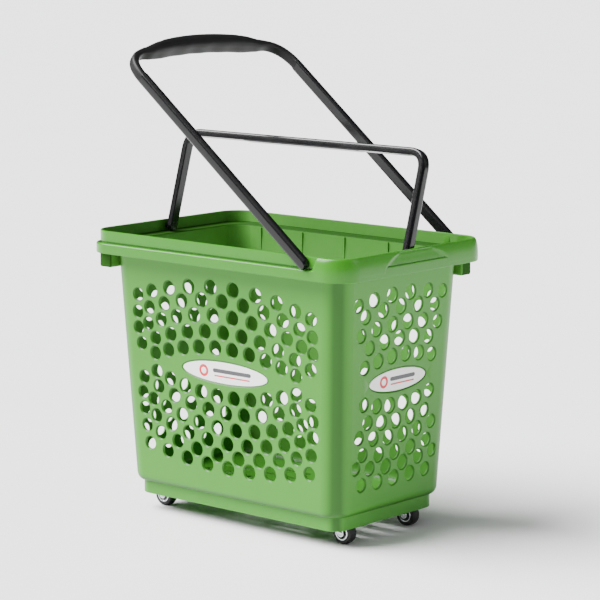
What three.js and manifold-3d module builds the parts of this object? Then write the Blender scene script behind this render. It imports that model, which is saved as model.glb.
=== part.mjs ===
// A tall shopping basket on four swivel castors, with a pull handle and a carry handle.
// Millimetres, +Z up. The origin is on the floor, below the middle of the basket.
// +X points to the end with the raised rim grip, and -Y to the front long side.
import * as THREE from 'three';
import { mergeGeometries, mergeVertices } from 'three/addons/utils/BufferGeometryUtils.js';
import Module from 'manifold-3d';

const wasm = await Module();
wasm.setup();

// Basket body
const WALL = 4;
const PLINTH = { halfX: 208.3, halfY: 118.7, radius: 22, bottom: 27, top: 47.2, skirt: 3 };
const FLOOR_TOP = 50.5;
const BODY_BOTTOM = { halfX: 219.1, halfY: 131, z: 62.4 };
const BODY_RADIUS = 34;
const TAPER_X = 0.0502;
const TAPER_Y = 0.049;
const LOWER_EDGE = { inset: 10, radiusDrop: 4 };

// Small amounts: how far joined solids run into each other, how far cutting solids stand past what they cut,
// and a length that passes right through the basket.
const OVERLAP = 1;
const PAST = 5;
const THROUGH = 600;
const ON_THE_TOP = 0.001;

// Rim
const SHELF_Z = 431.5;
const SHELF_THICKNESS = 3;
const LIP = { halfX: 264.9, halfY: 174.8, radius: 40, bottom: 415.3, thickness: 3 };
const BAND = { halfX: 260.5, halfY: 168.8, radius: 38, top: 451, thickness: 3.5 };
const END_GRIP = { startX: 202, topStartX: 213, topInset: 3 };
const LUG = { depth: 24, width: 44, bottom: 390, top: 416 };
const LUG_ON_END_Y = 130;
const LUG_ON_BACK_X = 210;

// Wall holes. Each row of the pattern is given from the label outwards, and is mirrored above and below it.
const PATTERN_Z = 247.8;
const HOLE_RADIUS = 12;
const HOLE_SIDES = 6;
const HOLE_EDGE_MARGIN = 1;
const HOLE_CORNER_REACH = 6;
const LONG_WALL_ROWS = [
  { crest: 38.3, droop: 34, pitch: 35, crowding: 0.124, first: 0.5, last: 4.5 },
  { crest: 63.3, droop: 36.5, pitch: 37.8, crowding: 0.115, first: 0, last: 5 },
  { crest: 88.7, droop: 35, pitch: 39.8, crowding: 0.237, first: 0.5, last: 5.5 },
  { crest: 112.1, droop: 33.5, pitch: 42.8, crowding: 0.284, first: 0, last: 5 },
  { crest: 132.8, droop: 28, pitch: 45.6, crowding: 0.325, first: 0.5, last: 4.5 },
  { crest: 150.8, droop: 18, pitch: 45.6, crowding: 0.169, first: 0, last: 4 },
];
const LONG_WALL_SPAN = 175;
const END_WALL_ROWS = [
  { crest: 38.5, droop: 13, pitch: 32.5, crowding: 0.14, first: 0.5, last: 2.5 },
  { crest: 64, droop: 11, pitch: 34.7, crowding: 0.08, first: 0, last: 2 },
  { crest: 88, droop: 10, pitch: 36, crowding: 0.1, first: 0.5, last: 2.5 },
  { crest: 113, droop: 9, pitch: 39.5, crowding: 0, first: 0, last: 2 },
  { crest: 133, droop: 7, pitch: 42, crowding: 0.6, first: 0.5, last: 2.5 },
  { crest: 153.5, droop: 1, pitch: 41, crowding: 0.2, first: 0, last: 2 },
];
const END_WALL_SPAN = 90;
const FLOOR_SLOT = { length: 70, width: 8, cutHeight: 12, columns: 4, rows: 5, pitchX: 90, pitchY: 36 };

// Oval labels
const LABEL = { halfHeight: 16.6, thickness: 1, recess: 1.7, rimGap: 3, backGap: 0.3, segments: 14 };
const LONG_LABEL_HALF = 87.7;
const END_LABEL_HALF = 66.2;

// Pull handle: turns about an axis along Y and stands at an angle above the horizontal, towards -X
const PULL = {
  pivotX: 190, pivotZ: 441, angle: 38.4, armY: 175.5, splay: 3, barRadius: 463.5, bow: 12.5,
  bend: 54, thickness: 12, width: 17,
};
// The grip is flush with the arms at its ends, over a core that is thinner by coreInset all round.
const GRIP = {
  halfLength: 132, coreInset: 1, coreGap: 0.3,
  middleThickness: 23.2, middleWidth: 26, fullness: 0.5,
};
const PULL_PIN = { radius: 4, headRadius: 6.5, headThickness: 1.3, headInner: 163.7, tip: 176.2 };

// Carry handle: turns about the X axis of the basket and leans towards +Y
const CARRY = {
  pivotZ: 441, lean: 16.5, armX: 245.5, barRadius: 155, bend: 28, thickness: 12, width: 16,
};
const CARRY_PIN = { radius: 4, headRadius: 6, headThickness: 1.5, headInner: 237.6, tip: 259.4 };
const PIN_CLEARANCE = 0.35;
const PIN_CHAMFER = 1;
const PIN_SEGMENTS = 12;
const BEND_STEPS = 6;
const SECTION_SIDES = 12;

// Castors
const CASTOR_X = 177;
const CASTOR_Y = 76;
const TRAIL = 11;
const TYRE = { radius: 18, innerRadius: 12.2, halfWidth: 8.5, edge: 2.5, crown: 0.6, seat: 0.5 };
const HUB = { radius: 11.9, halfWidth: 8, bore: 2.9, boss: 4.5, bossHalf: 8.6, web: 2.5, rim: 1.6 };
const FORK = { legInner: 9.2, legThickness: 1.6, plateBottom: 38.4, plateThickness: 1.8, plateRadius: 13 };
const FORK_STEM_GAP = 0.4;
const FORK_LEG = { footRadius: 6, axleHole: 2.9, topHalf: 9, backDrop: 5, frontDrop: 6, frontReach: 4 };
const HOUSING = { radius: 17, chamfer: 2, bottom: 40.7, top: 46.9 };
const STEM = { radius: 4, headRadius: 5.6, headBottom: 36.4, headTop: 37.9 };
const AXLE = { radius: 2.5, headRadius: 4.2, headThickness: 1.4, gap: 0.4, chamfer: 1 };

const GREEN = { color: 0x6eaf50, roughness: 0.42, metalness: 0 };
const BLACK = { color: 0x2a2a2c, roughness: 0.35, metalness: 0 };
const SOFT_BLACK = { color: 0x232323, roughness: 0.85, metalness: 0 };
const WHITE = { color: 0xf0f0ee, roughness: 0.35, metalness: 0 };
const ZINC = { color: 0xb9bcc0, roughness: 0.35, metalness: 1 };
const STEEL = { color: 0x9a9ca0, roughness: 0.3, metalness: 1 };
const GREY = { color: 0x9a9c9e, roughness: 0.5, metalness: 0 };
const RUBBER = { color: 0x1d1d1f, roughness: 0.8, metalness: 0 };

const model = new THREE.Group();

// Solids and booleans

function solid(geometry) {
  const bare = geometry.clone();
  bare.deleteAttribute('normal');
  bare.deleteAttribute('uv');
  const merged = mergeVertices(bare, 1e-4);
  return new wasm.Manifold(new wasm.Mesh({
    numProp: 3,
    vertProperties: new Float32Array(merged.attributes.position.array),
    triVerts: new Uint32Array(merged.index.array),
  }));
}

function geometryOf(body) {
  const mesh = body.getMesh();
  const geometry = new THREE.BufferGeometry();
  geometry.setAttribute('position', new THREE.BufferAttribute(mesh.vertProperties, 3));
  geometry.setIndex(new THREE.BufferAttribute(mesh.triVerts, 1));
  return geometry;
}

function addPart(name, geometry, look, parent = model) {
  const mesh = new THREE.Mesh(geometry, new THREE.MeshStandardMaterial(look));
  mesh.name = name;
  parent.add(mesh);
  return mesh;
}

// Shapes

function roundedRectangle(halfX, halfY, radius) {
  const shape = new THREE.Shape();
  shape.absarc(halfX - radius, halfY - radius, radius, 0, Math.PI / 2);
  shape.absarc(radius - halfX, halfY - radius, radius, Math.PI / 2, Math.PI);
  shape.absarc(radius - halfX, radius - halfY, radius, Math.PI, 1.5 * Math.PI);
  shape.absarc(halfX - radius, radius - halfY, radius, 1.5 * Math.PI, 2 * Math.PI);
  return shape;
}

function ellipse(halfWidth, halfHeight) {
  return new THREE.Shape().absellipse(0, 0, halfWidth, halfHeight, 0, 2 * Math.PI);
}

function circle(radius) {
  return ellipse(radius, radius);
}

function slab(shape, bottom, top, curveSegments = 3) {
  const options = { depth: top - bottom, bevelEnabled: false, curveSegments };
  return new THREE.ExtrudeGeometry(shape, options).translate(0, 0, bottom);
}

// A rounded block whose sides lean outwards by growX and growY over its height.
function taperedBlock(halfX, halfY, radius, bottom, top, growX, growY) {
  const geometry = slab(roundedRectangle(halfX, halfY, radius), bottom, top);
  const position = geometry.attributes.position;
  for (let i = 0; i < position.count; i += 1) {
    if (position.getZ(i) > top - ON_THE_TOP) {
      position.setX(i, position.getX(i) + Math.sign(position.getX(i)) * growX);
      position.setY(i, position.getY(i) + Math.sign(position.getY(i)) * growY);
    }
  }
  return solid(geometry);
}

function ring(outer, inner, bottom, top) {
  const outerBlock = solid(slab(roundedRectangle(outer.halfX, outer.halfY, outer.radius), bottom, top));
  const opening = roundedRectangle(inner.halfX, inner.halfY, inner.radius);
  const innerBlock = solid(slab(opening, bottom - PAST, top + PAST));
  return outerBlock.subtract(innerBlock);
}

function inset(outline, distance) {
  return {
    halfX: outline.halfX - distance,
    halfY: outline.halfY - distance,
    radius: outline.radius - distance,
  };
}

function wallHalfX(z) {
  return BODY_BOTTOM.halfX + TAPER_X * (z - BODY_BOTTOM.z);
}

function wallHalfY(z) {
  return BODY_BOTTOM.halfY + TAPER_Y * (z - BODY_BOTTOM.z);
}

// Basket body

function wallBlock(distance, bottom, top) {
  const height = top - bottom;
  const halfX = wallHalfX(bottom) - distance;
  const halfY = wallHalfY(bottom) - distance;
  return taperedBlock(halfX, halfY, BODY_RADIUS - distance, bottom, top, TAPER_X * height, TAPER_Y * height);
}

// The rounded lower edge of the walls, as one sloped band.
function lowerEdge(distance, bottom) {
  const slope = LOWER_EDGE.inset / (BODY_BOTTOM.z - PLINTH.top);
  const grow = slope * (BODY_BOTTOM.z - bottom);
  const halfX = BODY_BOTTOM.halfX - distance - grow;
  const halfY = BODY_BOTTOM.halfY - distance - grow;
  const radius = BODY_RADIUS - distance - LOWER_EDGE.radiusDrop;
  return taperedBlock(halfX, halfY, radius, bottom, BODY_BOTTOM.z, grow, grow);
}

function tub() {
  const wallBottom = BODY_BOTTOM.z - ON_THE_TOP;
  const outside = lowerEdge(0, PLINTH.top).add(wallBlock(0, wallBottom, SHELF_Z));
  const inside = lowerEdge(WALL, FLOOR_TOP).add(wallBlock(WALL, wallBottom, SHELF_Z + OVERLAP));
  return outside.subtract(inside);
}

function plinthSkirt() {
  return ring(PLINTH, inset(PLINTH, PLINTH.skirt), PLINTH.bottom, PLINTH.top + OVERLAP / 2);
}

function floorSlots() {
  const slots = [];
  for (let column = 0; column < FLOOR_SLOT.columns; column += 1) {
    for (let row = 0; row < FLOOR_SLOT.rows; row += 1) {
      const x = (column - (FLOOR_SLOT.columns - 1) / 2) * FLOOR_SLOT.pitchX;
      const y = (row - (FLOOR_SLOT.rows - 1) / 2) * FLOOR_SLOT.pitchY;
      const overCastorY = Math.abs(y) > CASTOR_Y - HOUSING.radius - FLOOR_SLOT.width;
      const overCastor = overCastorY && Math.abs(x) > FLOOR_SLOT.pitchX;
      if (!overCastor) {
        const slot = new THREE.BoxGeometry(FLOOR_SLOT.length, FLOOR_SLOT.width, FLOOR_SLOT.cutHeight);
        slots.push(slot.translate(x, y, PLINTH.top));
      }
    }
  }
  return solid(mergeGeometries(slots));
}

function rim() {
  const wallTop = { halfX: wallHalfX(SHELF_Z), halfY: wallHalfY(SHELF_Z), radius: BODY_RADIUS };
  const shelf = ring(LIP, inset(wallTop, WALL / 2), SHELF_Z - SHELF_THICKNESS, SHELF_Z);
  const skirt = ring(LIP, inset(LIP, LIP.thickness), LIP.bottom, SHELF_Z - OVERLAP);
  const band = ring(BAND, inset(BAND, BAND.thickness), SHELF_Z - OVERLAP, BAND.top);
  return shelf.add(skirt).add(band);
}

// The rim is raised and filled out to the lip at the +X end, where a sloped face ends the handle channel.
function endGrip() {
  const bottom = SHELF_Z - OVERLAP;
  const slope = (END_GRIP.topStartX - END_GRIP.startX) / (BAND.top - bottom);
  const fill = taperedBlock(LIP.halfX, LIP.halfY, LIP.radius, bottom, BAND.top, -END_GRIP.topInset,
    -END_GRIP.topInset);
  const bowl = inset(BAND, BAND.thickness);
  const bowlOutline = roundedRectangle(bowl.halfX, bowl.halfY, bowl.radius);
  const opening = solid(slab(bowlOutline, bottom - PAST, BAND.top + PAST));
  const side = new THREE.Shape([
    new THREE.Vector2(END_GRIP.startX, bottom - PAST),
    new THREE.Vector2(LIP.halfX + PAST, bottom - PAST),
    new THREE.Vector2(LIP.halfX + PAST, BAND.top + PAST),
    new THREE.Vector2(END_GRIP.topStartX + PAST * slope, BAND.top + PAST),
  ]);
  const reach = new THREE.ExtrudeGeometry(side, { depth: THROUGH, bevelEnabled: false });
  return fill.subtract(opening).intersect(solid(reach.translate(0, 0, -THROUGH / 2).rotateX(Math.PI / 2)));
}

function lugs() {
  const height = LUG.top - LUG.bottom;
  const middle = (LUG.top + LUG.bottom) / 2;
  const face = wallHalfX(middle) - WALL + OVERLAP;
  const backFace = wallHalfY(middle) - WALL + OVERLAP;
  const boxes = [];
  for (const side of [-1, 1]) {
    const onEnd = new THREE.BoxGeometry(LUG.depth, LUG.width, height);
    boxes.push(onEnd.translate(-face - LUG.depth / 2, side * LUG_ON_END_Y, middle));
    const onBack = new THREE.BoxGeometry(LUG.width, LUG.depth, height);
    boxes.push(onBack.translate(side * LUG_ON_BACK_X, backFace + LUG.depth / 2, middle));
  }
  return solid(mergeGeometries(boxes));
}

// Places of the holes in one wall, as distances along the wall and heights.
function holePlaces(rows, span, halfAt, middleHalf) {
  const places = [];
  for (const direction of [1, -1]) {
    rows.forEach((row, index) => {
      if (direction > 0 && index === rows.length - 1) {
        return;
      }
      for (let step = row.first; step <= row.last; step += 1) {
        const along = row.pitch * step - row.crowding * step ** 3;
        const z = PATTERN_Z + direction * (row.crest - row.droop * (along / span) ** 2);
        const stretched = along * halfAt(z) / middleHalf;
        const room = halfAt(z) - BODY_RADIUS + HOLE_CORNER_REACH - HOLE_RADIUS - HOLE_EDGE_MARGIN;
        if (stretched <= room) {
          places.push(...(step > 0 ? [[stretched, z], [-stretched, z]] : [[stretched, z]]));
        }
      }
    });
  }
  return places;
}

function wallHoles() {
  const prisms = [];
  for (const [x, z] of holePlaces(LONG_WALL_ROWS, LONG_WALL_SPAN, wallHalfX, wallHalfX(PATTERN_Z))) {
    const prism = new THREE.CylinderGeometry(HOLE_RADIUS, HOLE_RADIUS, THROUGH, HOLE_SIDES);
    prisms.push(prism.translate(x, 0, z));
  }
  for (const [y, z] of holePlaces(END_WALL_ROWS, END_WALL_SPAN, wallHalfY, wallHalfY(PATTERN_Z))) {
    const prism = new THREE.CylinderGeometry(HOLE_RADIUS, HOLE_RADIUS, THROUGH, HOLE_SIDES);
    prisms.push(prism.rotateZ(Math.PI / 2).translate(0, y, z));
  }
  return prisms;
}

// A flat oval standing in the plane of a wall, from one distance to another inside its outer face.
function ovalInWall(end, halfWidth, halfHeight, outer, inner) {
  const half = end.long ? wallHalfY(PATTERN_Z) : wallHalfX(PATTERN_Z);
  const tilt = Math.atan(end.long ? TAPER_Y : TAPER_X);
  const geometry = new THREE.ExtrudeGeometry(ellipse(halfWidth, halfHeight),
    { depth: inner - outer, bevelEnabled: false, curveSegments: LABEL.segments });
  return geometry.translate(0, 0, -inner)
    .rotateX(Math.PI / 2 + tilt)
    .translate(0, -half, PATTERN_Z)
    .rotateZ(end.turn);
}

const WALLS = [
  { name: 'front', turn: 0, long: true },
  { name: 'right', turn: Math.PI / 2, long: false },
  { name: 'back', turn: Math.PI, long: true },
  { name: 'left', turn: -Math.PI / 2, long: false },
];

function labelHalf(wall) {
  return wall.long ? LONG_LABEL_HALF : END_LABEL_HALF;
}

function labelRecesses() {
  const cutters = WALLS.map((wall) => ovalInWall(wall, labelHalf(wall) + LABEL.rimGap,
    LABEL.halfHeight + LABEL.rimGap, -PAST, LABEL.recess));
  return solid(mergeGeometries(cutters));
}

function pivotHoles() {
  const pullRadius = PULL_PIN.radius + PIN_CLEARANCE;
  const carryRadius = CARRY_PIN.radius + PIN_CLEARANCE;
  const carryLength = 2 * (CARRY_PIN.tip + PIN_CLEARANCE);
  const pull = new THREE.CylinderGeometry(pullRadius, pullRadius, THROUGH, PIN_SEGMENTS);
  const carry = new THREE.CylinderGeometry(carryRadius, carryRadius, carryLength, PIN_SEGMENTS);
  return solid(pull.translate(PULL.pivotX, 0, PULL.pivotZ))
    .add(solid(carry.rotateZ(Math.PI / 2).translate(0, 0, CARRY.pivotZ)));
}

function basketBody() {
  const holes = wallHoles().reduce((all, prism) => all.add(solid(prism)), floorSlots());
  return tub().subtract(holes).add(plinthSkirt()).add(rim()).add(endGrip()).add(lugs())
    .subtract(labelRecesses()).subtract(pivotHoles());
}

addPart('basket_body', geometryOf(basketBody()), GREEN);
for (const wall of WALLS) {
  const outer = LABEL.recess - LABEL.backGap - LABEL.thickness;
  const plate = ovalInWall(wall, labelHalf(wall), LABEL.halfHeight, outer, outer + LABEL.thickness);
  addPart(`label_plate_${wall.name}`, plate, WHITE);
}

// Handles. Each is drawn lying flat in its own XY plane, with its pivot axis along Y, and then turned up.

// The middle line of a U-shaped handle: arms along +X from the pivot axis, and a bar bowed by bow.
function handlePath(armY, splay, barRadius, bend, bow) {
  const topY = armY + splay;
  const path = new THREE.CurvePath();
  const start = new THREE.Vector3(0, -armY, 0);
  const elbow = new THREE.Vector3(barRadius - bend, -topY, 0);
  const corner = new THREE.Vector3(barRadius, -topY, 0);
  const barStart = new THREE.Vector3(barRadius, bend - topY, 0);
  const crown = new THREE.Vector3(barRadius + 2 * bow, 0, 0);
  const mirrored = (point) => new THREE.Vector3(point.x, -point.y, 0);
  path.add(new THREE.LineCurve3(start, elbow));
  path.add(new THREE.QuadraticBezierCurve3(elbow, corner, barStart));
  path.add(new THREE.QuadraticBezierCurve3(barStart, crown, mirrored(barStart)));
  path.add(new THREE.QuadraticBezierCurve3(mirrored(barStart), mirrored(corner), mirrored(elbow)));
  path.add(new THREE.LineCurve3(mirrored(elbow), mirrored(start)));
  return path;
}

// Points along a handle: several on each bend and on the bar, and only the ends of the straight arms.
function handlePoints(path) {
  const points = [];
  path.curves.forEach((curve, index) => {
    const straight = index === 0 || index === path.curves.length - 1;
    const drawn = curve.getPoints(straight ? 1 : BEND_STEPS);
    points.push(...(index === 0 ? drawn : drawn.slice(1)));
  });
  return points;
}

// Sweeps a rounded section (width across the plane, thickness in it) along the points of a handle.
function sweep(points, sectionAt) {
  const geometry = new THREE.CylinderGeometry(1, 1, 1, SECTION_SIDES, points.length - 1);
  const position = geometry.attributes.position;
  const up = new THREE.Vector3(0, 0, 1);
  const across = points.map((point, i) => {
    const before = points[Math.max(i - 1, 0)];
    const after = points[Math.min(i + 1, points.length - 1)];
    return new THREE.Vector3().subVectors(after, before).normalize().cross(up);
  });
  for (let i = 0; i < position.count; i += 1) {
    const index = Math.round((0.5 - position.getY(i)) * (points.length - 1));
    const section = sectionAt(points[index]);
    const angle = Math.atan2(position.getX(i), position.getZ(i));
    const onAxis = Math.hypot(position.getX(i), position.getZ(i)) < 0.5;
    const side = onAxis ? 0 : squared(Math.cos(angle)) * section.thickness / 2;
    const rise = onAxis ? 0 : squared(Math.sin(angle)) * section.width / 2;
    const place = points[index].clone().addScaledVector(across[index], side).addScaledVector(up, rise);
    position.setXYZ(i, place.x, place.y, place.z);
  }
  return geometry;
}

// Draws a circle's coordinate out towards a rounded square.
function squared(value) {
  return Math.sign(value) * Math.min(1, Math.abs(value) ** 0.6);
}

function armEnd(width, thickness, y) {
  const end = new THREE.CylinderGeometry(width / 2, width / 2, thickness, 16);
  return solid(end.translate(0, y, 0));
}

function pinHole(pin, from, to) {
  const radius = pin.radius + PIN_CLEARANCE;
  const hole = new THREE.CylinderGeometry(radius, radius, to - from, PIN_SEGMENTS);
  return solid(hole.translate(0, (from + to) / 2, 0));
}

// A whole handle, with a round end on each arm.
function bareHandle(size, armY, points, sectionAt) {
  let body = solid(sweep(points, sectionAt));
  for (const side of [-1, 1]) {
    body = body.add(armEnd(size.width, size.thickness, side * armY));
  }
  return body;
}

const pullFrame = new THREE.Group();
pullFrame.position.set(PULL.pivotX, 0, PULL.pivotZ);
pullFrame.rotation.y = THREE.MathUtils.degToRad(180 + PULL.angle);
model.add(pullFrame);

const pullPoints = handlePoints(handlePath(PULL.armY, PULL.splay, PULL.barRadius, PULL.bend, PULL.bow));

function underGrip(point) {
  return point.x > PULL.barRadius - PULL.bend + OVERLAP;
}

function thinnedPull(inset) {
  return { width: PULL.width - 2 * inset, thickness: PULL.thickness - 2 * inset };
}

// Flush with the arms from the bends to halfLength, and swelling from there to the middle of the bar.
function gripSection(point) {
  const fromMiddle = Math.min(1, Math.abs(point.y) / GRIP.halfLength);
  const swell = Math.cos(Math.PI / 2 * fromMiddle) ** GRIP.fullness;
  return {
    width: PULL.width + (GRIP.middleWidth - PULL.width) * swell,
    thickness: PULL.thickness + (GRIP.middleThickness - PULL.thickness) * swell,
  };
}

function pullHandle() {
  const core = thinnedPull(GRIP.coreInset);
  let body = bareHandle(PULL, PULL.armY, pullPoints, (point) => (underGrip(point) ? core : PULL));
  const inner = PULL.armY - PULL.thickness;
  const outer = PULL_PIN.tip + PIN_CLEARANCE;
  body = body.subtract(pinHole(PULL_PIN, inner, outer));
  return body.subtract(pinHole(PULL_PIN, -outer, -inner));
}

function pullGrip() {
  const core = thinnedPull(GRIP.coreInset - GRIP.coreGap);
  const sleeve = solid(sweep(pullPoints.filter(underGrip), gripSection));
  return sleeve.subtract(solid(sweep(pullPoints, () => core)));
}

addPart('pull_handle', geometryOf(pullHandle()), BLACK, pullFrame);
addPart('pull_handle_grip', geometryOf(pullGrip()), SOFT_BLACK, pullFrame);

// The carry handle's pivot axis is turned from Y to X, and its arms from X to upright, before it leans.
const carryFrame = new THREE.Group();
carryFrame.position.set(0, 0, CARRY.pivotZ);
carryFrame.rotation.x = THREE.MathUtils.degToRad(-CARRY.lean);
const carryAxis = new THREE.Group();
carryAxis.rotation.z = Math.PI / 2;
const carryUpright = new THREE.Group();
carryUpright.rotation.y = -Math.PI / 2;
carryAxis.add(carryUpright);
carryFrame.add(carryAxis);
model.add(carryFrame);

function carryHandle() {
  const points = handlePoints(handlePath(CARRY.armX, 0, CARRY.barRadius, CARRY.bend, 0));
  const body = bareHandle(CARRY, CARRY.armX, points, () => CARRY);
  const inner = CARRY.armX - CARRY.thickness;
  const outer = CARRY.armX + CARRY.thickness;
  return body.subtract(pinHole(CARRY_PIN, inner, outer)).subtract(pinHole(CARRY_PIN, -outer, -inner));
}

addPart('carry_handle', geometryOf(carryHandle()), BLACK, carryUpright);

// A headed pin drawn along +Y, with the inner face of its head at the distance headInner from the middle.
function headedPin(pin) {
  const points = [
    new THREE.Vector2(0, pin.headInner),
    new THREE.Vector2(pin.headRadius, pin.headInner),
    new THREE.Vector2(pin.headRadius, pin.headInner + pin.headThickness),
    new THREE.Vector2(pin.radius, pin.headInner + pin.headThickness),
    new THREE.Vector2(pin.radius, pin.tip - PIN_CHAMFER),
    new THREE.Vector2(pin.radius - PIN_CHAMFER, pin.tip),
    new THREE.Vector2(0, pin.tip),
  ];
  return new THREE.LatheGeometry(points, PIN_SEGMENTS);
}

for (const [name, side] of [['front', -1], ['back', 1]]) {
  const pin = addPart(`pull_pivot_pin_${name}`, headedPin(PULL_PIN), GREEN);
  pin.position.set(PULL.pivotX, 0, PULL.pivotZ);
  pin.rotation.z = side < 0 ? Math.PI : 0;
}
for (const [name, side] of [['left', -1], ['right', 1]]) {
  const pin = addPart(`carry_pivot_pin_${name}`, headedPin(CARRY_PIN), BLACK);
  pin.position.set(0, 0, CARRY.pivotZ);
  pin.rotation.z = side < 0 ? Math.PI / 2 : -Math.PI / 2;
}

// Castors. Each is drawn about its swivel axis, with the wheel trailing towards +X.

function lathe(profile, segments) {
  const points = profile.map(([radius, height]) => new THREE.Vector2(radius, height));
  return new THREE.LatheGeometry(points, segments);
}

function castorHousing() {
  return lathe([
    [0, STEM.headBottom], [STEM.headRadius, STEM.headBottom], [STEM.headRadius, STEM.headTop],
    [STEM.radius, STEM.headTop], [STEM.radius, HOUSING.bottom],
    [HOUSING.radius - HOUSING.chamfer, HOUSING.bottom], [HOUSING.radius, HOUSING.bottom + HOUSING.chamfer],
    [HOUSING.radius, HOUSING.top], [0, HOUSING.top],
  ], 20);
}

function forkLeg() {
  const shape = new THREE.Shape();
  const top = FORK.plateBottom + FORK.plateThickness;
  shape.moveTo(-FORK_LEG.topHalf, top);
  shape.lineTo(-FORK_LEG.topHalf, top - FORK_LEG.backDrop);
  shape.lineTo(TRAIL - FORK_LEG.footRadius, TYRE.radius);
  shape.absarc(TRAIL, TYRE.radius, FORK_LEG.footRadius, Math.PI, 2 * Math.PI);
  shape.lineTo(FORK_LEG.topHalf + FORK_LEG.frontReach, top - FORK_LEG.frontDrop);
  shape.lineTo(FORK_LEG.topHalf, top);
  shape.holes.push(new THREE.Path().absarc(TRAIL, TYRE.radius, FORK_LEG.axleHole, 0, 2 * Math.PI));
  const options = { depth: FORK.legThickness, bevelEnabled: false, curveSegments: 5 };
  return new THREE.ExtrudeGeometry(shape, options).rotateX(Math.PI / 2);
}

function fork() {
  const plateTop = FORK.plateBottom + FORK.plateThickness;
  const outline = circle(FORK.plateRadius);
  outline.holes.push(new THREE.Path().absarc(0, 0, STEM.radius + FORK_STEM_GAP, 0, 2 * Math.PI));
  let body = solid(slab(outline, FORK.plateBottom, plateTop, 8));
  for (const side of [-1, 1]) {
    const outerFace = side < 0 ? -FORK.legInner : FORK.legInner + FORK.legThickness;
    body = body.add(solid(forkLeg().translate(0, outerFace, 0)));
  }
  return body;
}

function tyre() {
  const seat = TYRE.halfWidth - TYRE.seat;
  const shoulder = TYRE.radius - TYRE.crown;
  return lathe([
    [TYRE.innerRadius, -seat], [TYRE.radius - TYRE.edge, -TYRE.halfWidth],
    [shoulder, -TYRE.halfWidth + TYRE.edge], [TYRE.radius, 0],
    [shoulder, TYRE.halfWidth - TYRE.edge], [TYRE.radius - TYRE.edge, TYRE.halfWidth],
    [TYRE.innerRadius, seat], [TYRE.innerRadius, -seat],
  ], 24);
}

function hub() {
  const webRadius = HUB.radius - HUB.rim;
  return lathe([
    [HUB.bore, -HUB.bossHalf], [HUB.boss, -HUB.bossHalf], [HUB.boss, -HUB.web], [webRadius, -HUB.web],
    [webRadius, -HUB.halfWidth], [HUB.radius, -HUB.halfWidth], [HUB.radius, HUB.halfWidth],
    [webRadius, HUB.halfWidth], [webRadius, HUB.web], [HUB.boss, HUB.web], [HUB.boss, HUB.bossHalf],
    [HUB.bore, HUB.bossHalf], [HUB.bore, -HUB.bossHalf],
  ], 20);
}

function axle() {
  const inner = FORK.legInner + FORK.legThickness + AXLE.gap;
  const outer = inner + AXLE.headThickness;
  return lathe([
    [0, -outer], [AXLE.headRadius - AXLE.chamfer, -outer], [AXLE.headRadius, -inner], [AXLE.radius, -inner],
    [AXLE.radius, inner], [AXLE.headRadius, inner], [AXLE.headRadius - AXLE.chamfer, outer], [0, outer],
  ], 14);
}

const forkGeometry = geometryOf(fork());
const CASTORS = [
  ['front_left', -CASTOR_X, -CASTOR_Y, Math.PI],
  ['front_right', CASTOR_X, -CASTOR_Y, 0],
  ['back_left', -CASTOR_X, CASTOR_Y, Math.PI],
  ['back_right', CASTOR_X, CASTOR_Y, 0],
];
for (const [name, x, y, turn] of CASTORS) {
  const castor = new THREE.Group();
  castor.position.set(x, y, 0);
  castor.rotation.z = turn;
  model.add(castor);
  addPart(`castor_housing_${name}`, castorHousing().rotateX(Math.PI / 2), BLACK, castor);
  addPart(`castor_fork_${name}`, forkGeometry.clone(), ZINC, castor);
  const wheel = new THREE.Group();
  wheel.position.set(TRAIL, 0, TYRE.radius);
  castor.add(wheel);
  addPart(`castor_axle_${name}`, axle(), STEEL, wheel);
  addPart(`castor_hub_${name}`, hub(), GREY, wheel);
  addPart(`castor_tyre_${name}`, tyre(), RUBBER, wheel);
}

export default model;
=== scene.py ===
import bpy
import bmesh
import math
from mathutils import Matrix, Vector
from mathutils.geometry import delaunay_2d_cdt


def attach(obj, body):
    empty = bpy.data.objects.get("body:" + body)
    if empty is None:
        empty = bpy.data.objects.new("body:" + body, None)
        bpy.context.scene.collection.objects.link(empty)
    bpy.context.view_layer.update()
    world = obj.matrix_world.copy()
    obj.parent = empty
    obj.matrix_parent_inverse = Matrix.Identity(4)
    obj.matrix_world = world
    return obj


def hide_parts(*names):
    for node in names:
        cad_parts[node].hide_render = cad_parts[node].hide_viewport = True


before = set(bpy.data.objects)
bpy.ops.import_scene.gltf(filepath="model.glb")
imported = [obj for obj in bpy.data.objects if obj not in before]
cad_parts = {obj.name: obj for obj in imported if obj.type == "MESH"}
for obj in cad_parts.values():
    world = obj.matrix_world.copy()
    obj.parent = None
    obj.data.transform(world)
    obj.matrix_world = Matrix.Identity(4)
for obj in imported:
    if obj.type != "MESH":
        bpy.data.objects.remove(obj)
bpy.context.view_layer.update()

MM = 0.001


# ---------------------------------------------------------------------------
# Camera, floor and studio light.
# A long lens at basket height, looking at the front side and the right end.
# ---------------------------------------------------------------------------
CAMERA_AZIMUTH = 41.27
CAMERA_ELEVATION = 9.25
CAMERA_DISTANCE = 4.071
CAMERA_AIM = Vector((0.0031, 0.0318, 0.3413))
CAMERA_LENS_MM = 155.16
FLOOR_SIZE = 120.0


def view_direction(azimuth, elevation):
    a, e = math.radians(azimuth), math.radians(elevation)
    return Vector((math.sin(a) * math.cos(e), -math.cos(a) * math.cos(e), math.sin(e)))


def link(thing):
    bpy.context.scene.collection.objects.link(thing)
    return thing


def aimed(thing, azimuth, elevation, distance, aim):
    back = view_direction(azimuth, elevation)
    thing.location = aim + back * distance
    thing.rotation_euler = back.to_track_quat("Z", "Y").to_euler()


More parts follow.
